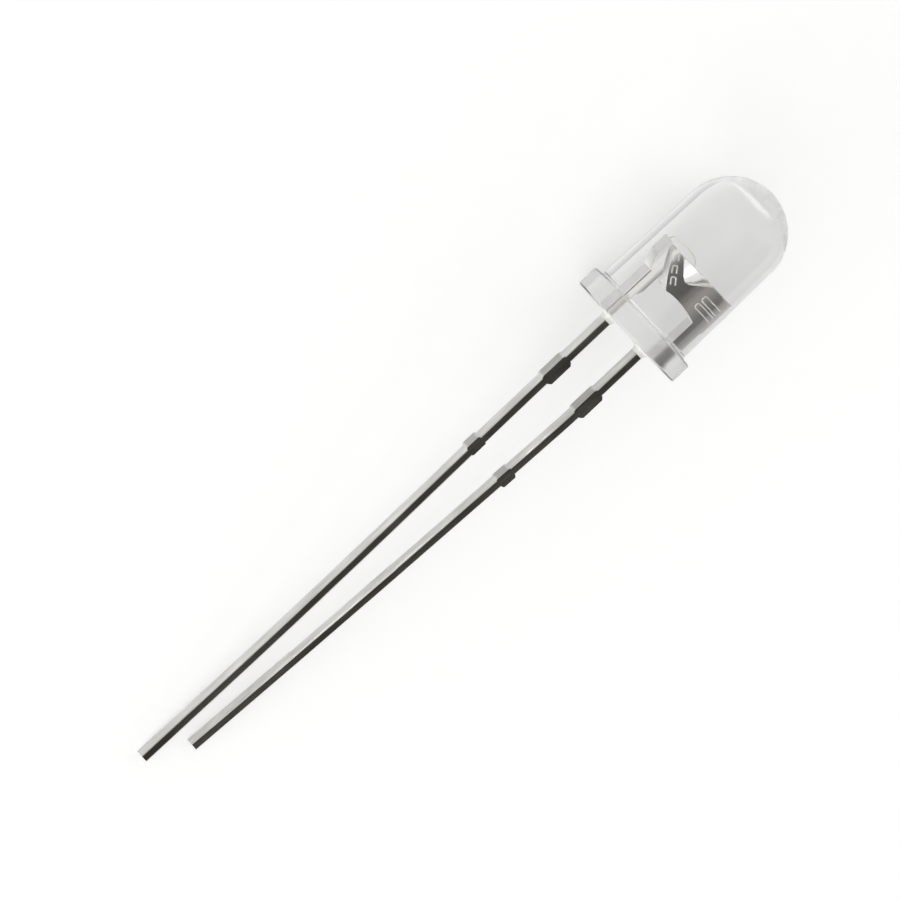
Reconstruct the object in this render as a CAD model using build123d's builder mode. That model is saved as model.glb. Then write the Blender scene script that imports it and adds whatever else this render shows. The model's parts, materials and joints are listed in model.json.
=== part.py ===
from build123d import *
from math import cos, radians, sin, sqrt, tan
import os

os.makedirs("parts", exist_ok=True)

# The LED is drawn with its own axis on Z: the flange seats at Z = 0 and the dome points up.
# X runs through both leads, from the cathode (-X) to the anode (+X). Y is across the sheet metal.

# Epoxy moulding
flange_dia = 5.8
flange_thick = 1.0
flange_lower_round = 0.10
body_root_dia = 5.0
dome_radius = 2.42
overall_height = 8.6
flat_clearance = 0.05
barrel_top = overall_height - dome_radius
flange_step = (flange_dia - body_root_dia) / 2
flange_upper_round = flange_step * 0.3
body_root_fillet = flange_step * 0.25
flat_from_axis = body_root_dia / 2 + flat_clearance

# Leads, cut from one strip of sheet metal
pitch = 2.54
lead_width = 0.46
sheet_thick = 0.46
lead_edge_round = 0.08
anode_length = 27.27
cathode_length = 25.4
lead_x = pitch / 2
inner_edge_x = lead_x - lead_width / 2
outer_edge_x = lead_x + lead_width / 2

# The anode lead bows slightly, and the cathode lead bends toward the axis below its stand-off
anode_bow = 0.10
anode_tip_angle = 1.0
cathode_bend_start = 3.8
cathode_bend_drop = 1.0
cathode_bend_angle = 2.5
cathode_tip_angle = 3.7

# Stand-off ridges, left where the strip's cross bars were cut
ridge_top = 2.56
ridge_length = 1.34
ridge_ramp = 0.12
ridge_high = 0.15
ridge_low = 0.036
second_ridge_top = 7.53
second_ridge_length = 0.77
second_ridge_ramp = 0.07
second_ridge_anode = 0.07
second_ridge_cathode = 0.115
second_ridge_in = 0.02

# Anvil plate with its reflector cup, on the cathode side
anvil_top = 4.03
anvil_floor = 2.45
anvil_floor_rise = 0.08
anvil_corner_x = 0.30
anvil_diagonal = 38.0
anvil_wing_x = 1.34
anvil_shoulder_drop = 0.09
anvil_corner_round = 0.14
anvil_outer_inset = 0.035
foot_start = 0.30
foot_inner_inset = 0.045
foot_outer_inset = 0.08
anvil_bevel = 0.05
cup_outer_radius = 0.76
cup_half_angle = 37.5
cup_tip_radius = 0.18
cup_mouth_radius = 0.62
cup_floor_radius = 0.30
cup_depth = 0.38

# Post with its flared head, on the anode side
gap_across = 0.35
post_top = 4.10
post_shoulder = 0.10
post_shoulder_z = 1.75
post_shoulder_ramp = 0.30
post_head_x = 2.02
post_head_width = 0.26
post_flare_start = 2.6
post_flare_end = 3.35
post_flare_round = 0.25

# Chip, its adhesive and its wire
die_side = 0.32
die_height = 0.13
attach_side = 0.36
attach_thick = 0.02
wire_dia = 0.03
ball_dia = 0.09
ball_height = 0.03
stitch_length = 0.11
stitch_width = 0.06
wire_loop_top = 4.34
stitch_angle = 50

# Resin collars around the leads
collar_drop = 0.27
collar_base = 0.86
collar_mid = 0.64
collar_tip = 0.50

# Heights and places that follow from the sizes above
cup_floor = anvil_top - cup_depth
die_base = cup_floor + attach_thick
die_top = die_base + die_height
diagonal_slope = tan(radians(anvil_diagonal))
wing_top = anvil_floor + (anvil_wing_x - anvil_corner_x) / diagonal_slope
post_inner_x = inner_edge_x - post_shoulder
post_inner_start = anvil_floor + (post_inner_x - anvil_corner_x - gap_across) / diagonal_slope
anvil_outer_x = outer_edge_x - anvil_outer_inset
foot_inner_x = inner_edge_x + foot_inner_inset
foot_outer_x = outer_edge_x - foot_outer_inset
shoulder_z = anvil_floor - anvil_shoulder_drop
head_inner_x = post_head_x - post_head_width
head_inner_z = anvil_floor + (head_inner_x - anvil_corner_x - gap_across) / diagonal_slope

# Radii of the two cathode bends, from the height that each one takes
bend_end_z = -cathode_bend_start - cathode_bend_drop
bend_radius = cathode_bend_drop / sin(radians(cathode_bend_angle))
sweep_sine = sin(radians(cathode_tip_angle)) - sin(radians(cathode_bend_angle))
sweep_radius = (cathode_length + bend_end_z) / sweep_sine
ridge_mid = -ridge_top - ridge_length / 2
second_ridge_mid = -second_ridge_top - second_ridge_length / 2
second_ridge_x = -lead_x + (cathode_bend_start + cathode_bend_drop / 2 + second_ridge_mid) * -tan(
    radians(cathode_bend_angle)
)
cup_tip_z = anvil_top - anvil_bevel - (cup_outer_radius - cup_tip_radius) / tan(radians(cup_half_angle))
stitch_x = (head_inner_x + post_head_x) / 2


def ridge(length, ramp, left_height, right_height, rotation=0):
    """Outline of the lead over one stand-off, with a ramp at each end."""
    end = length / 2
    shoulder = end - ramp
    edge = lead_width / 2
    left = -edge - left_height
    right = edge + right_height
    Polygon(
        (-edge, end),
        (left, shoulder),
        (left, -shoulder),
        (-edge, -end),
        (edge, -end),
        (right, -shoulder),
        (right, shoulder),
        (edge, end),
        rotation=rotation,
        align=None,
    )


# Cathode lead: one stamping, drawn as its outline on the middle of the sheet
with BuildPart() as cathode_lead:
    with BuildSketch(Plane.XZ):
        with BuildLine():
            straight = Line((-lead_x, foot_start), (-lead_x, -cathode_bend_start))
            bend = JernArc(straight @ 1, straight % 1, bend_radius, cathode_bend_angle)
            JernArc(bend @ 1, bend % 1, sweep_radius, cathode_tip_angle - cathode_bend_angle)
        trace(line_width=lead_width)
    extrude(amount=sheet_thick / 2, both=True)
    fillet(cathode_lead.edges().filter_by(lambda e: e.length > 0.6), lead_edge_round)
    # Stand-offs, the second one turned with the lead
    with BuildSketch(Plane.XZ):
        with Locations((-lead_x, ridge_mid)):
            ridge(ridge_length, ridge_ramp, ridge_high, ridge_low)
        with Locations((second_ridge_x, second_ridge_mid)):
            ridge(second_ridge_length, second_ridge_ramp, second_ridge_cathode, second_ridge_in, cathode_bend_angle)
    extrude(amount=sheet_thick / 2, both=True)
    # Anvil plate on its narrower foot, with its slanted edge along the gap to the post
    with BuildSketch(Plane.XZ) as anvil:
        with BuildLine():
            Polyline(
                (anvil_corner_x, anvil_floor),
                (anvil_wing_x, wing_top),
                (anvil_wing_x, anvil_top),
                (-anvil_outer_x, anvil_top),
                (-anvil_outer_x, shoulder_z),
                (-foot_outer_x, shoulder_z - anvil_corner_round),
                (-foot_outer_x, 0),
                (-foot_inner_x, 0),
                (-foot_inner_x, shoulder_z),
            )
            ThreePointArc(
                (-foot_inner_x, shoulder_z),
                ((anvil_corner_x - foot_inner_x) / 2, anvil_floor + anvil_floor_rise),
                (anvil_corner_x, anvil_floor),
            )
        make_face()
        foot_corner = anvil.vertices().sort_by_distance((-foot_inner_x, shoulder_z, 0))[0]
        fillet(foot_corner, anvil_corner_round * 0.8)
        wing_corner = anvil.vertices().sort_by_distance((anvil_wing_x, anvil_top, 0))[0]
        fillet(wing_corner, anvil_corner_round)
    extrude(amount=sheet_thick / 2, both=True)
    top_edges = cathode_lead.edges().filter_by(GeomType.LINE).filter_by(Axis.X).group_by(Axis.Z)[-1]
    chamfer(top_edges, anvil_bevel)
    # Reflector cup, pressed out on both sides of the plate
    with BuildSketch(Plane.XZ):
        with BuildLine():
            Polyline(
                (0, cup_tip_z),
                (cup_tip_radius, cup_tip_z),
                (cup_outer_radius, anvil_top - anvil_bevel),
                (cup_outer_radius - anvil_bevel, anvil_top),
                (0, anvil_top),
                close=True,
            )
        make_face()
    revolve(axis=Axis.Z)
    with BuildSketch(Plane.XZ):
        with BuildLine():
            Polyline(
                (0, cup_floor),
                (cup_floor_radius, cup_floor),
                (cup_mouth_radius, anvil_top),
                (0, anvil_top),
                close=True,
            )
        make_face()
    revolve(axis=Axis.Z, mode=Mode.SUBTRACT)

# Anode lead: one stamping, with a post whose head flares away from the anvil
with BuildPart() as anode_lead:
    with BuildSketch(Plane.XZ):
        with BuildLine():
            straight = Line((lead_x, post_flare_start), (lead_x, -ridge_top - ridge_length))
            Spline(
                straight @ 1,
                (lead_x - anode_bow, -(ridge_top + ridge_length + anode_length) / 2),
                (lead_x, -anode_length),
                tangents=((0, -1), (sin(radians(anode_tip_angle)), -cos(radians(anode_tip_angle)))),
            )
        trace(line_width=lead_width)
    extrude(amount=sheet_thick / 2, both=True)
    fillet(anode_lead.edges().filter_by(lambda e: e.length > 0.6), lead_edge_round)
    with BuildSketch(Plane.XZ):
        with Locations((lead_x, ridge_mid)):
            ridge(ridge_length, ridge_ramp, ridge_high, ridge_low)
        with Locations((lead_x - anode_bow / 4, second_ridge_mid)):
            ridge(second_ridge_length, second_ridge_ramp, second_ridge_in, second_ridge_anode)
    extrude(amount=sheet_thick / 2, both=True)
    with BuildSketch(Plane.XZ) as head:
        with BuildLine():
            Polyline(
                (lead_x, post_shoulder_z - post_shoulder_ramp),
                (inner_edge_x, post_shoulder_z - post_shoulder_ramp),
                (post_inner_x, post_shoulder_z),
                (post_inner_x, post_inner_start),
                (head_inner_x, head_inner_z),
                (head_inner_x, post_top),
                (post_head_x, post_top),
                (post_head_x, post_flare_end),
                (outer_edge_x, post_flare_start),
                (lead_x, post_flare_start),
                close=True,
            )
        make_face()
        flare_corner = head.vertices().sort_by_distance((post_head_x, post_flare_end, 0))[0]
        fillet(flare_corner, post_flare_round)
    extrude(amount=sheet_thick / 2, both=True)

# Silver-filled adhesive under the chip
with BuildPart(Plane.XY.offset(cup_floor)) as die_attach:
    Box(attach_side, attach_side, attach_thick, align=(Align.CENTER, Align.CENTER, Align.MIN))

# Chip
with BuildPart(Plane.XY.offset(die_base)) as die:
    Box(die_side, die_side, die_height, align=(Align.CENTER, Align.CENTER, Align.MIN))

# Bond wire: ball on the chip, loop over the rim of the cup, stitch on the post
with BuildPart() as bond_wire:
    with BuildLine(Plane.XZ) as loop:
        Spline(
            (0, die_top + ball_height / 2),
            (cup_floor_radius, wire_loop_top - wire_dia),
            (anvil_wing_x, wire_loop_top),
            (stitch_x, post_top + wire_dia / 2),
            tangents=((0, 1), (cos(radians(stitch_angle)), -sin(radians(stitch_angle)))),
        )
    with BuildSketch(Plane(origin=loop.line @ 0, z_dir=loop.line % 0)):
        Circle(wire_dia / 2)
    sweep()
    with Locations((0, 0, die_top)):
        Cylinder(ball_dia / 2, ball_height, align=(Align.CENTER, Align.CENTER, Align.MIN))
    with Locations((stitch_x, 0, post_top)):
        Box(stitch_length, stitch_width, wire_dia, align=(Align.CENTER, Align.CENTER, Align.MIN))

# Epoxy moulding, with a pocket for every piece that it holds
with BuildPart() as lens:
    with BuildSketch(Plane.XZ) as profile:
        with BuildLine():
            Polyline(
                (0, overall_height),
                (0, 0),
                (flange_dia / 2, 0),
                (flange_dia / 2, flange_thick),
                (body_root_dia / 2, flange_thick),
                (dome_radius, barrel_top),
            )
            RadiusArc((dome_radius, barrel_top), (0, overall_height), -dome_radius)
        make_face()
        corners = profile.vertices()
        fillet(corners.sort_by_distance((flange_dia / 2, 0, 0))[0], flange_lower_round)
        corners = profile.vertices()
        fillet(corners.sort_by_distance((flange_dia / 2, flange_thick, 0))[0], flange_upper_round)
        corners = profile.vertices()
        fillet(corners.sort_by_distance((body_root_dia / 2, flange_thick, 0))[0], body_root_fillet)
    revolve(axis=Axis.Z)
    # Flat that marks the cathode side of the flange
    with Locations((-flat_from_axis, 0, 0)):
        Box(
            flange_dia,
            flange_dia,
            2 * (flange_thick + body_root_fillet),
            align=(Align.MAX, Align.CENTER, Align.CENTER),
            mode=Mode.SUBTRACT,
        )
    # Collars where the resin creeps down the leads
    for side in (-1, 1):
        for drop, width in ((0, collar_base), (-collar_drop / 3, collar_mid), (-collar_drop, collar_tip)):
            with BuildSketch(Plane.XY.offset(drop)):
                with Locations((side * lead_x, 0)):
                    RectangleRounded(width, width, width * 0.35)
        loft()
    for inner in (cathode_lead, anode_lead, die_attach, die, bond_wire):
        add(inner.part, mode=Mode.SUBTRACT)

# The LED lies as it comes to rest, with its sheet metal level across, on the rim of its flange
# and on the tip of the longer lead. The pitch of its axis closes in on those two contacts.
pitch_sine = 0
for _ in range(12):
    pitch_cosine = sqrt(1 - pitch_sine**2)
    rim_drop = (flange_dia / 2 - flange_lower_round) * pitch_cosine + flange_lower_round * (1 - pitch_sine)
    tip_drop = sheet_thick / 2 * pitch_cosine
    pitch_sine = (rim_drop - tip_drop) / anode_length
ground_up = Vector(0, pitch_cosine, pitch_sine)
along_ground = Vector(0, -pitch_sine, pitch_cosine)
laid_down = Plane(origin=(0, 0, 0), x_dir=along_ground, z_dir=ground_up).location.inverse()
pieces = (lens.part, cathode_lead.part, anode_lead.part, die_attach.part, die.part, bond_wire.part)
for piece in pieces:
    piece.move(laid_down)

# The frame's origin is the middle of the footprint, on the ground
reach = Compound(pieces).bounding_box()
to_origin = Location((-reach.center().X, -reach.center().Y, -reach.min.Z))
for piece in pieces:
    piece.move(to_origin)

lens.part.label = "lens"
cathode_lead.part.label = "cathode_lead"
anode_lead.part.label = "anode_lead"
die_attach.part.label = "die_attach"
die.part.label = "die"
bond_wire.part.label = "bond_wire"
export_step(lens.part, "parts/lens.step")
export_step(cathode_lead.part, "parts/cathode_lead.step")
export_step(anode_lead.part, "parts/anode_lead.step")
export_step(die_attach.part, "parts/die_attach.step")
export_step(die.part, "parts/die.step")
export_step(bond_wire.part, "parts/bond_wire.step")
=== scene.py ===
import math

import bmesh
import bpy
from mathutils import Matrix, Vector
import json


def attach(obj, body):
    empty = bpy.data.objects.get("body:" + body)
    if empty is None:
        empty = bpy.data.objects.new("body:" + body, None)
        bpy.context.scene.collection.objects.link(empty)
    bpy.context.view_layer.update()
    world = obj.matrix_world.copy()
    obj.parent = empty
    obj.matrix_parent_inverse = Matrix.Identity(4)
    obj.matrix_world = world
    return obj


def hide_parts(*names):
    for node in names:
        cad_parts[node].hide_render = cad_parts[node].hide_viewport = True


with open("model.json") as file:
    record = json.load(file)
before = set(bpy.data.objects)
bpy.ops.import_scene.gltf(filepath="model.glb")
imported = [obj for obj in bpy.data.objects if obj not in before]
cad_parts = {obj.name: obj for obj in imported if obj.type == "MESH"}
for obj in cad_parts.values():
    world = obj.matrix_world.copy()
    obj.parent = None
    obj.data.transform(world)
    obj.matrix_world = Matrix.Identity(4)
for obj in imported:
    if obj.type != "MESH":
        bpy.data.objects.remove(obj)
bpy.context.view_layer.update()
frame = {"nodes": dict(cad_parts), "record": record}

MM = 0.001

# The photograph, and how the LED lies in it
PICTURE = 900  # pixels across and down
SCALE = 23.55  # pixels to the millimetre
AXIS_ANGLE = math.radians(43.3)  # of the LED's axis above the level
TURN = math.radians(39.3)  # of the sheet metal about that axis, as seen by the camera
SEAT_PIXEL = (625.4, 332.6)  # the middle of the flange's underside
DISTANCE = 1.0
SENSOR = 36

# The lens, in millimetres
FLANGE_R, FLANGE_T = 2.9, 1.0
LOWER_ROUND, UPPER_ROUND, ROOT_FILLET = 0.10, 0.12, 0.10
ROOT_R, DOME_R, TOP = 2.5, 2.42, 8.6
FLAT = 2.55  # of the flange, from the axis
UNDERSIDE_RINGS = (0.6, 1.2, 1.8, 2.4)
RIM_RINGS = (0.40, 0.60)
DOME_END = 88.5  # degrees up the dome, where the last ring closes to a tip
AROUND = 288
ROUND_STEPS, FILLET_STEPS, BARREL_STEPS, DOME_STEPS = 10, 8, 24, 60
LENS_CREASE = math.radians(32)

# The resin's collars on the leads: heights and half widths of their rounded square sections
LEAD_X = 1.27
COLLAR = ((0.02, 0.43), (-0.045, 0.365), (-0.09, 0.32), (-0.18, 0.275), (-0.27, 0.25))
COLLAR_AROUND = 48
COLLAR_POWER = 3.2

# The coined marks: middle in x and z, width, depth and turn in degrees
SHEET_FRONT = 0.23
MARK_HALF_WIDTH, MARK_HEIGHT, MARK_SUNK = 0.03, 0.022, 0.002
MARK_FACETS = 6
MARK_CORNER = 0.28  # of the width
MARK_CREASE = math.radians(50)
MARKS = (
    (-1.08, 3.40, 0.28, 0.58, -90),
    (-1.08, 2.99, 0.25, 0.58, -90),
    (0.37, 2.96, 0.20, 0.32, -38),
    (0.68, 3.34, 0.20, 0.32, -38),
    (1.00, 3.74, 0.20, 0.26, -38),
)

# Stretches of z, in millimetres, where the stand-off ridges are pressed
RIDGES = ((-3.84, -2.62), (-8.26, -7.57))

# Pairs of colours, dark and light
TINNED_ROLLED = ((0.47, 0.45, 0.39), (0.74, 0.72, 0.66))
TINNED_SHEARED = ((0.50, 0.50, 0.485), (0.76, 0.76, 0.745))
TINNED_PRESSED = ((0.33, 0.33, 0.31), (0.50, 0.50, 0.48))
SILVERED_ROLLED = ((0.84, 0.82, 0.785), (0.95, 0.93, 0.90))
SILVERED_SHEARED = ((0.93, 0.925, 0.915), (0.98, 0.975, 0.965))
# Painted shade: the resin's grey stands in for the shade seen through the lens, and the flange's lighter
# grey paints less of it
RESIN_TONE_WITH_PAINTED_SHADE = ((0.857, 0.857, 0.857), (0.877, 0.877, 0.877))
FLANGE_TONE_WITH_LESS_PAINTED_SHADE = (0.90, 0.90, 0.90)
MILKY = ((0.93, 0.925, 0.88), (0.98, 0.98, 0.95))
PASTE = ((0.55, 0.55, 0.53), (0.82, 0.82, 0.80))
CHIP = ((0.20, 0.24, 0.25), (0.42, 0.46, 0.46))
GOLD = ((0.93, 0.80, 0.56), (1.0, 0.91, 0.72))
PAPER = ((0.785, 0.785, 0.78), (0.815, 0.815, 0.81))
RESIN_IOR = 1.53

# The floor, in metres, and its glow
FLOOR_REACH = 1.5
FLOOR_LIFT = 0.36
# Painted shade: the share by which the floor's glow is dimmed where it is seen through the resin
FLOOR_SHADE_PAINTED_THROUGH_RESIN = 0.22

# Brightness of the tent, by degrees from the sheet's normal toward the cathode side's horizon
SKY = (
    (-90, 0.95),
    (-30, 1.0),
    (-12, 0.50),
    (6, 0.13),
    (25, 0.36),
    (35, 0.05),
    (43, 0.05),
    (52, 0.09),
    (58, 0.38),
    (61, 1.0),
    (66, 1.0),
    (76, 0.80),
    (90, 0.62),
)
WARM_BELOW = 0.5
WARM = (1, 0.98, 0.94)
SKY_ENDS = (0.98, 0.98, 0.98)
BOX_STRENGTH = 6.0

# The LED's own axes: base on the flange's underside, z to the dome, x to the anode, y across the sheet
mounts = {m["name"]: m for m in frame["record"]["mounts"]}
base = Vector(mounts["flange_seat"]["pos_m"])
led_z = -Vector(mounts["flange_seat"]["axis"]).normalized()
led_x = Vector((0, 1, 0))
led_y = led_z.cross(led_x).normalized()
LED = Matrix((led_x, led_y, led_z)).transposed().to_4x4()
LED.translation = base
LED_TURN = LED.to_3x3()


class Tree:
    """Short calls that add nodes to one node tree."""

    def __init__(self, tree):
        self.tree = tree
        self.tree.nodes.clear()

    def add(self, kind, **values):
        node = self.tree.nodes.new(kind)
        for name, value in values.items():
            setattr(node, name, value)
        return node

    def link(self, source, target):
        self.tree.links.new(source, target)

    def noise(self, vector, scale, detail=2.0, roughness=0.5):
        node = self.add("ShaderNodeTexNoise")
        node.inputs["Scale"].default_value = scale
        node.inputs["Detail"].default_value = detail
        node.inputs["Roughness"].default_value = roughness
        self.link(vector, node.inputs["Vector"])
        return node.outputs["Fac"]

    def spread(self, value, low, high, out_low, out_high):
        """The value's range from low to high, laid over another range and clamped to it."""
        node = self.add("ShaderNodeMapRange")
        node.inputs["From Min"].default_value = low
        node.inputs["From Max"].default_value = high
        node.inputs["To Min"].default_value = out_low
        node.inputs["To Max"].default_value = out_high
        self.link(value, node.inputs["Value"])
        return node.outputs["Result"]

    def band(self, value, low, high, soft=0.1):
        """One between these values and nothing outside them, with soft ends."""
        rise = self.spread(value, low, low + soft, 0, 1)
        fall = self.spread(value, high - soft, high, 1, 0)
        return self.math("MULTIPLY", rise, fall)

    def math(self, operation, first, second=0):
        node = self.add("ShaderNodeMath", operation=operation)
        for index, value in enumerate((first, second)):
            if isinstance(value, (int, float)):
                node.inputs[index].default_value = value
            else:
                self.link(value, node.inputs[index])
        return node.outputs[0]

    def product(self, first, *others):
        for other in others:
            first = self.math("MULTIPLY", first, other)
        return first

    def dot(self, vector, direction):
        node = self.add("ShaderNodeVectorMath", operation="DOT_PRODUCT")
        node.inputs[1].default_value = direction
        self.link(vector, node.inputs[0])
        return node.outputs["Value"]

    def mix(self, factor, first, second):
        node = self.add("ShaderNodeMix", data_type="RGBA")
        for name, value in (("A_Color", first), ("B_Color", second)):
            socket = next(s for s in node.inputs if s.identifier == name)
            if isinstance(value, tuple):
                socket.default_value = (*value, 1)
            else:
                self.link(value, socket)
        self.link(factor, next(s for s in node.inputs if s.identifier == "Factor_Float"))
        return next(s for s in node.outputs if s.identifier == "Result_Color")

    def bump(self, height, strength, distance, normal=None):
        node = self.add("ShaderNodeBump")
        node.inputs["Strength"].default_value = strength
        node.inputs["Distance"].default_value = distance
        self.link(height, node.inputs["Height"])
        if normal is not None:
            self.link(normal, node.inputs["Normal"])
        return node.outputs["Normal"]

    def led_coordinates(self, stretch=(1, 1, 1)):
        """Object coordinates turned into the LED's own axes, in millimetres."""
        where = self.add("ShaderNodeTexCoord")
        turned = self.add("ShaderNodeMapping", vector_type="TEXTURE")
        turned.inputs["Location"].default_value = base
        turned.inputs["Rotation"].default_value = LED_TURN.to_euler()
        self.link(where.outputs["Object"], turned.inputs["Vector"])
        scaled = self.add("ShaderNodeVectorMath", operation="MULTIPLY")
        scaled.inputs[1].default_value = [s / MM for s in stretch]
        self.link(turned.outputs["Vector"], scaled.inputs[0])
        return scaled.outputs["Vector"]

    def led_place(self):
        """Sockets X, Y and Z: the place in the LED's own axes, in millimetres."""
        parts = self.add("ShaderNodeSeparateXYZ")
        self.link(self.led_coordinates(), parts.inputs["Vector"])
        return parts.outputs


def material(name, **values):
    """A new material, its tree and its Principled shader with these plain values set."""
    made = bpy.data.materials.new(name)
    made.use_nodes = True
    tree = Tree(made.node_tree)
    shader = tree.add("ShaderNodeBsdfPrincipled")
    output = tree.add("ShaderNodeOutputMaterial")
    tree.link(shader.outputs["BSDF"], output.inputs["Surface"])
    for key, value in values.items():
        shader.inputs[key.replace("_", " ")].default_value = value
    return made, tree, shader


def drawn_normal(tree, normal, squareness, silvered, place):
    """Shearing draws the front edge over, so the sheared faces toward the leads lean toward it."""
    toward_leads = tree.spread(tree.dot(normal, -led_z), 0.3, 0.6, 0, 1)
    lean = tree.spread(place["Y"], -0.20, 0.20, 0.60, 0.85)
    lean = tree.product(silvered, lean, toward_leads, tree.spread(squareness, 0.05, 0.25, 1, 0))
    drawn = tree.add("ShaderNodeVectorMath", operation="SCALE")
    drawn.inputs[0].default_value = led_y
    tree.link(lean, drawn.inputs["Scale"])
    leaning = tree.add("ShaderNodeVectorMath", operation="ADD")
    tree.link(normal, leaning.inputs[0])
    tree.link(drawn.outputs["Vector"], leaning.inputs[1])
    even = tree.add("ShaderNodeVectorMath", operation="NORMALIZE")
    tree.link(leaning.outputs["Vector"], even.inputs[0])
    return even.outputs["Vector"]


def plated_steel():
    """Tinned where the leads stand free and silvered inside the resin. The rolled faces have faint drawn
    streaks, and the sheared edges are duller."""
    made, tree, shader = material("plated_steel")
    streaks = tree.noise(tree.led_coordinates((9, 9, 0.35)), 1.0, 3.0, 0.6)
    blotches = tree.noise(tree.led_coordinates((1, 1, 0.4)), 1.2, 3.0, 0.5)
    grain = tree.noise(tree.led_coordinates(), 26.0, 3.0, 0.6)
    lines = tree.noise(tree.led_coordinates((24, 24, 0.25)), 1.0, 3.0, 0.65)
    tone = tree.math("ADD", tree.product(streaks, 0.30), tree.product(blotches, 0.35))
    tone = tree.spread(tree.math("ADD", tone, tree.product(lines, 0.35)), 0.38, 0.62, 0, 1)

    normal = tree.add("ShaderNodeNewGeometry").outputs["Normal"]
    squareness = tree.math("ABSOLUTE", tree.dot(normal, led_y))
    sheared = tree.spread(squareness, 0.55, 0.8, 1, 0)
    place = tree.led_place()
    silvered = tree.spread(place["Z"], -0.05, 0.05, 0, 1)

    # Colour: the ridges' sheared faces are darker from the press
    tinned = tree.mix(sheared, tree.mix(tone, *TINNED_ROLLED), tree.mix(tone, *TINNED_SHEARED))
    silver = tree.mix(sheared, tree.mix(tone, *SILVERED_ROLLED), tree.mix(tone, *SILVERED_SHEARED))
    pressed = tree.math("MAXIMUM", *(tree.band(place["Z"], *ridge) for ridge in RIDGES))
    tinned = tree.mix(tree.product(pressed, sheared), tinned, tree.mix(tone, *TINNED_PRESSED))
    tree.link(tree.mix(silvered, tinned, silver), shader.inputs["Base Color"])

    # Gloss: the sheared faces and the long edges of the free leads are dull
    metal = tree.spread(sheared, 0, 1, 1.0, 0.7)
    metal = tree.math("SUBTRACT", metal, tree.product(silvered, sheared, 0.35))
    tree.link(metal, shader.inputs["Metallic"])
    edges = tree.product(
        tree.spread(squareness, 0.1, 0.3, 0, 1),
        tree.spread(squareness, 0.93, 0.99, 1, 0),
        tree.spread(silvered, 0, 1, 0.4, 0),
    )
    dull = tree.math("MAXIMUM", tree.product(sheared, 0.2), edges)
    shine = tree.spread(blotches, 0.3, 0.7, 0.13, 0.2)
    shine = tree.math("SUBTRACT", shine, tree.product(silvered, 0.05))
    tree.link(tree.math("ADD", shine, dull), shader.inputs["Roughness"])

    normal = drawn_normal(tree, normal, squareness, silvered, place)
    normal = tree.bump(lines, 0.12, 0.00001, normal)
    tree.link(tree.bump(grain, 0.06, 0.000005, normal), shader.inputs["Normal"])
    return made


def clear_epoxy():
    """Water-clear resin whose colour is greyed as painted shade of what is seen through it, painted less
    grey round the flange; very slightly wavy as it comes from the mould, and satin round the flange.
    """
    made, tree, shader = material("clear_epoxy", IOR=RESIN_IOR, Transmission_Weight=1.0)
    waves = tree.noise(tree.led_coordinates(), 0.7)
    fine = tree.noise(tree.led_coordinates(), 7.0)
    place = tree.led_place()
    # Painted shade: the resin's colour is a grey, uneven with the waves, and painted a lighter grey
    # round the flange
    clear = tree.mix(tree.spread(waves, 0.3, 0.7, 0, 1), *RESIN_TONE_WITH_PAINTED_SHADE)
    flange = tree.spread(place["Z"], 0.98, 1.14, 1, 0)
    tree.link(tree.mix(flange, clear, FLANGE_TONE_WITH_LESS_PAINTED_SHADE), shader.inputs["Base Color"])
    satin = tree.spread(place["Z"], 1.02, 1.20, 0.17, 0.0)
    satin = tree.math("ADD", satin, tree.spread(fine, 0.3, 0.7, 0.0, 0.03))
    tree.link(satin, shader.inputs["Roughness"])
    tree.link(tree.bump(waves, 0.10, 0.00002), shader.inputs["Normal"])
    return made


def resin_collar():
    """The same resin where it creeps down the leads: milky with fine bubbles."""
    made, tree, shader = material("resin_collar", IOR=RESIN_IOR, Transmission_Weight=0.3)
    bubbles = tree.noise(tree.led_coordinates(), 9.0, 3.0, 0.6)
    tree.link(tree.mix(bubbles, *MILKY), shader.inputs["Base Color"])
    tree.link(tree.spread(bubbles, 0.3, 0.7, 0.35, 0.55), shader.inputs["Roughness"])
    return made


def silver_adhesive():
    made, tree, shader = material("silver_adhesive", Metallic=0.7)
    flakes = tree.noise(tree.led_coordinates(), 40.0, 3.0, 0.7)
    tree.link(tree.mix(flakes, *PASTE), shader.inputs["Base Color"])
    tree.link(tree.spread(flakes, 0.3, 0.7, 0.45, 0.7), shader.inputs["Roughness"])
    return made


def chip():
    made, tree, shader = material("chip", Metallic=0.1)
    layers = tree.noise(tree.led_coordinates((2, 2, 30)), 2.0)
    tree.link(tree.mix(layers, *CHIP), shader.inputs["Base Color"])
    tree.link(tree.spread(layers, 0.3, 0.7, 0.12, 0.3), shader.inputs["Roughness"])
    return made


def gold_wire():
    made, tree, shader = material("gold_wire", Metallic=1.0)
    drawn = tree.noise(tree.led_coordinates(), 30.0)
    tree.link(tree.mix(drawn, *GOLD), shader.inputs["Base Color"])
    tree.link(tree.spread(drawn, 0.3, 0.7, 0.12, 0.22), shader.inputs["Roughness"])
    return made


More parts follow.
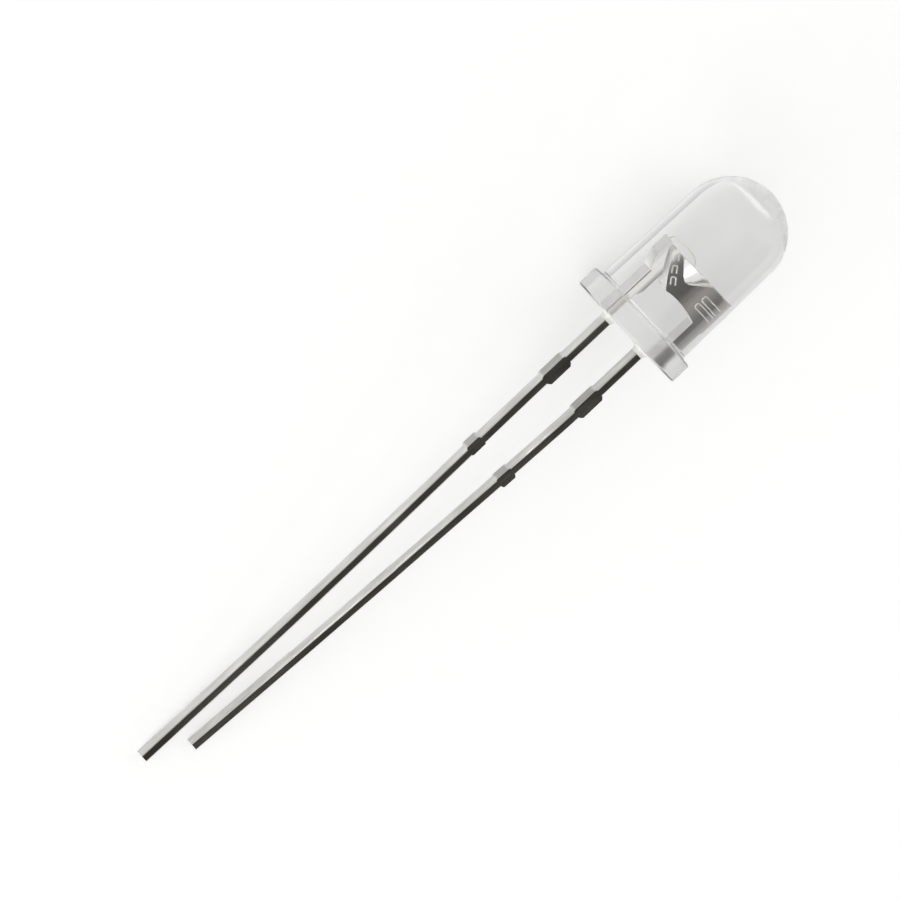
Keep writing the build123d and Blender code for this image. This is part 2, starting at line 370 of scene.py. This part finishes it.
def white_paper():
    """White to the eye and in a mirror, and painted a little darker through glass as painted shade,
    while the light on it stays plain.
    """
    made, tree, shader = material("white_paper", Roughness=0.9, Specular_IOR_Level=0.1)
    fibres = tree.noise(tree.add("ShaderNodeTexCoord").outputs["Object"], 900.0, 3.0, 0.6)
    tree.link(tree.mix(fibres, *PAPER), shader.inputs["Base Color"])
    seen = tree.add("ShaderNodeLightPath").outputs
    direct = tree.math("MAXIMUM", seen["Is Camera Ray"], seen["Is Glossy Ray"])
    # Refracted rays are glossy too; for rays that come out of the resin the floor's glow is painted
    # dimmer, as painted shade of the floor under the LED
    resin = tree.math("SUBTRACT", 1, tree.product(seen["Is Transmission Ray"], FLOOR_SHADE_PAINTED_THROUGH_RESIN))
    glow = tree.add("ShaderNodeEmission")
    tree.link(tree.product(direct, resin, FLOOR_LIFT), glow.inputs["Strength"])
    both = tree.add("ShaderNodeAddShader")
    tree.link(shader.outputs["BSDF"], both.inputs[0])
    tree.link(glow.outputs["Emission"], both.inputs[1])
    surface = next(n for n in tree.tree.nodes if n.type == "OUTPUT_MATERIAL")
    tree.link(both.outputs["Shader"], surface.inputs["Surface"])
    return made


def link_mesh(name, bm, made):
    mesh = bpy.data.meshes.new(name)
    bm.to_mesh(mesh)
    bm.free()
    mesh.materials.append(made)
    obj = bpy.data.objects.new(name, mesh)
    bpy.context.collection.objects.link(obj)
    return obj


def smooth_object(name, bm, made):
    """A smooth-shaded object from a bmesh that is drawn in the LED's own frame, in millimetres."""
    bm.transform(LED @ Matrix.Scale(MM, 4))
    bmesh.ops.recalc_face_normals(bm, faces=bm.faces)
    obj = link_mesh(name, bm, made)
    for polygon in obj.data.polygons:
        polygon.use_smooth = True
    return obj


def skin(bm, loops):
    """Faces between closed loops of vertices that follow one another."""
    count = len(loops[0])
    for low, high in zip(loops, loops[1:]):
        for k in range(count):
            j = (k + 1) % count
            bm.faces.new((low[k], low[j], high[j], high[k]))


def arc(cx, cz, radius, start, end, steps):
    """Points of an arc in the radius and height plane, its ends included, angles in degrees."""
    turns = [math.radians(start + (end - start) * i / steps) for i in range(steps + 1)]
    return [(cx + radius * math.cos(a), cz + radius * math.sin(a)) for a in turns]


def lens_profile():
    """Radius and height of the moulding's rings, from the underside to the dome."""
    barrel_top = TOP - DOME_R
    barrel_root = FLANGE_T + ROOT_FILLET
    profile = [(r, 0) for r in UNDERSIDE_RINGS]
    profile += arc(FLANGE_R - LOWER_ROUND, LOWER_ROUND, LOWER_ROUND, -90, 0, ROUND_STEPS)
    profile += [(FLANGE_R, z) for z in RIM_RINGS]
    profile += arc(FLANGE_R - UPPER_ROUND, FLANGE_T - UPPER_ROUND, UPPER_ROUND, 0, 90, ROUND_STEPS)
    profile += arc(ROOT_R + ROOT_FILLET, barrel_root, ROOT_FILLET, 270, 180, FILLET_STEPS)
    for i in range(1, BARREL_STEPS):
        r = ROOT_R + (DOME_R - ROOT_R) * i / BARREL_STEPS
        profile.append((r, barrel_root + (barrel_top - barrel_root) * i / BARREL_STEPS))
    return profile + arc(0, barrel_top, DOME_R, 0, DOME_END, DOME_STEPS)


def moulding():
    bm = bmesh.new()
    rings = []
    for r, z in lens_profile():
        ring = []
        for k in range(AROUND):
            a = 2 * math.pi * k / AROUND
            x, y = r * math.cos(a), r * math.sin(a)
            if z < FLANGE_T + ROOT_FILLET and r > FLAT:
                x = max(x, -FLAT)
            ring.append(bm.verts.new((x, y, z)))
        rings.append(ring)
    skin(bm, rings)
    for ring, z in ((rings[0], 0), (rings[-1], TOP)):
        tip = bm.verts.new((0, 0, z))
        for k in range(AROUND):
            bm.faces.new((ring[k], ring[(k + 1) % AROUND], tip))
    return smooth_object("epoxy_lens", bm, clear_epoxy())


def collar(side, made):
    """One collar, round on the lead at this side of the axis."""
    bm = bmesh.new()
    loops = []
    for z, half in COLLAR:
        loop = []
        for k in range(COLLAR_AROUND):
            a = 2 * math.pi * k / COLLAR_AROUND
            c, s = math.cos(a), math.sin(a)
            reach = half / (abs(c) ** COLLAR_POWER + abs(s) ** COLLAR_POWER) ** (1 / COLLAR_POWER)
            loop.append(bm.verts.new((side * LEAD_X + reach * c, reach * s, z)))
        loops.append(loop)
    skin(bm, loops)
    bm.faces.new(loops[0])
    bm.faces.new(loops[-1])
    return smooth_object(f"collar_{side}", bm, made)


def join(body, tool):
    """Unite the tool with the body, each with its own material, and remove the tool."""
    union = body.modifiers.new("union", "BOOLEAN")
    union.operation = "UNION"
    union.solver = "EXACT"
    union.object = tool
    union.material_mode = "TRANSFER"
    bpy.context.view_layer.update()
    evaluated = body.evaluated_get(bpy.context.evaluated_depsgraph_get())
    joined = bpy.data.meshes.new_from_object(evaluated)
    body.modifiers.clear()
    body.data = joined
    bpy.data.objects.remove(tool)


def build_lens():
    """The moulding's outer skin alone, so that light meets one surface on its way in and the metal
    stands straight in the resin, with the collars on its underside."""
    lens = moulding()
    milky = resin_collar()
    for side in (-1, 1):
        join(lens, collar(side, milky))
    lens.data.set_sharp_from_angle(angle=LENS_CREASE)
    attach(lens, "root")
    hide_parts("lens")


def u_path(cx, cz, width, depth, turn):
    """Points of a U with rounded corners, open at one end, turned in the plane of the sheet."""
    half, top, corner = width / 2, depth / 2, MARK_CORNER * width
    path = [(-half, -top + (depth - corner) * i / 5) for i in range(5)]
    path += [(x - half + corner, y + top - corner) for x, y in arc(0, 0, corner, 180, 90, 4)]
    path += [(-x, y) for x, y in reversed(path)]
    a = math.radians(turn)
    ca, sa = math.cos(a), math.sin(a)
    return [(cx + x * ca - z * sa, cz + x * sa + z * ca) for x, z in path]


def ridge(name, points, made):
    """A low half-round ridge along these points of the sheet's front face."""
    bm = bmesh.new()
    sections = []
    for i, (x, z) in enumerate(points):
        before = Vector(points[max(i - 1, 0)])
        after = Vector(points[min(i + 1, len(points) - 1)])
        run = (after - before).normalized()
        side = Vector((-run.y, run.x))
        section = []
        for k in range(MARK_FACETS + 1):
            a = math.pi * k / MARK_FACETS
            o = side * (MARK_HALF_WIDTH * math.cos(a))
            y = SHEET_FRONT - MARK_SUNK + MARK_HEIGHT * math.sin(a)
            section.append(bm.verts.new((x + o.x, y, z + o.y)))
        sections.append(section)
    skin(bm, sections)
    bm.faces.new(sections[0])
    bm.faces.new(sections[-1])
    obj = smooth_object(name, bm, made)
    obj.data.set_sharp_from_angle(angle=MARK_CREASE)
    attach(obj, "root")


def coin_marks(made):
    """Plain U-shaped ridges on the anvil, which strengthen the grip of the resin."""
    for number, row in enumerate(MARKS, 1):
        ridge(f"coined_mark_{number}", u_path(*row), made)


def dress_nodes(steel):
    """Better materials on the nodes that keep their own meshes."""
    for node, made in (
        ("cathode_lead", steel),
        ("anode_lead", steel),
        ("die_attach", silver_adhesive()),
        ("die", chip()),
        ("bond_wire", gold_wire()),
    ):
        for slot in frame["nodes"][node].material_slots:
            slot.material = made


def build_floor():
    bm = bmesh.new()
    corners = [(x * FLOOR_REACH, y * FLOOR_REACH, 0) for x, y in ((-1, -1), (1, -1), (1, 1), (-1, 1))]
    bm.faces.new([bm.verts.new(corner) for corner in corners])
    link_mesh("floor", bm, white_paper())


def build_sky():
    """A pale tent all round, open in one dark gap above the leads' broad faces."""
    world = bpy.data.worlds.new("tent")
    bpy.context.scene.world = world
    world.use_nodes = True
    tree = Tree(world.node_tree)
    where = tree.add("ShaderNodeTexCoord").outputs["Generated"]
    height = tree.dot(where, led_y)
    over = tree.math("ARCTAN2", tree.dot(where, -led_x), height)
    ramp = tree.add("ShaderNodeValToRGB")
    tree.link(tree.spread(over, -math.pi / 2, math.pi / 2, 0, 1), ramp.inputs["Fac"])
    stops = ramp.color_ramp.elements
    for angle, tone in SKY:
        place = (angle + 90) / 180
        if place in (0.0, 1.0):
            stop = stops[-1 if place else 0]
        else:
            stop = stops.new(place)
        tint = WARM if tone < WARM_BELOW else (1, 1, 1)
        stop.color = (*(tone * part for part in tint), 1)
    # The gap closes toward both ends of the LED
    ends = tree.spread(tree.math("ABSOLUTE", tree.dot(where, led_z)), 0.30, 0.55, 0, 1)
    sky = tree.mix(ends, ramp.outputs["Color"], SKY_ENDS)

    # A soft box, low down at the leads' end, brings out the sheared edges and the cup
    box_side = (led_x * 0.3 - led_z * 0.954).normalized()
    box_light = tree.product(
        tree.spread(tree.dot(where, box_side), 0.74, 0.92, 0, 1),
        tree.spread(height, 0.0, 0.06, 0, 1),
        tree.spread(height, 0.42, 0.32, 0, 1),
    )
    background = tree.add("ShaderNodeBackground")
    tree.link(tree.spread(box_light, 0, 1, 1.0, BOX_STRENGTH), background.inputs["Strength"])
    tree.link(sky, background.inputs["Color"])
    output = tree.add("ShaderNodeOutputWorld")
    tree.link(background.outputs["Background"], output.inputs["Surface"])


def place_camera():
    """As the photograph sees the LED: square to its axis and from far away."""
    toward = LED_TURN @ Vector((math.sin(TURN), math.cos(TURN), 0))
    across = LED_TURN @ Vector((-math.cos(TURN), math.sin(TURN), 0))
    right = led_z * math.cos(AXIS_ANGLE) + across * math.sin(AXIS_ANGLE)
    down = -led_z * math.sin(AXIS_ANGLE) + across * math.cos(AXIS_ANGLE)
    offset = right * (PICTURE / 2 - SEAT_PIXEL[0]) + down * (PICTURE / 2 - SEAT_PIXEL[1])
    aim = base + offset * (MM / SCALE)
    data = bpy.data.cameras.new("camera")
    data.sensor_width = SENSOR
    data.lens = SENSOR * DISTANCE / (PICTURE / SCALE * MM)
    data.clip_start = 0.01
    data.clip_end = 10
    camera = bpy.data.objects.new("camera", data)
    bpy.context.collection.objects.link(camera)
    turned = Matrix((right, -down, toward)).transposed().to_4x4()
    camera.matrix_world = Matrix.Translation(aim + toward * DISTANCE) @ turned
    bpy.context.scene.camera = camera


place_camera()
tin = plated_steel()
dress_nodes(tin)
build_lens()
coin_marks(tin)
build_floor()
build_sky()
bpy.context.scene.view_settings.view_transform = "Standard"
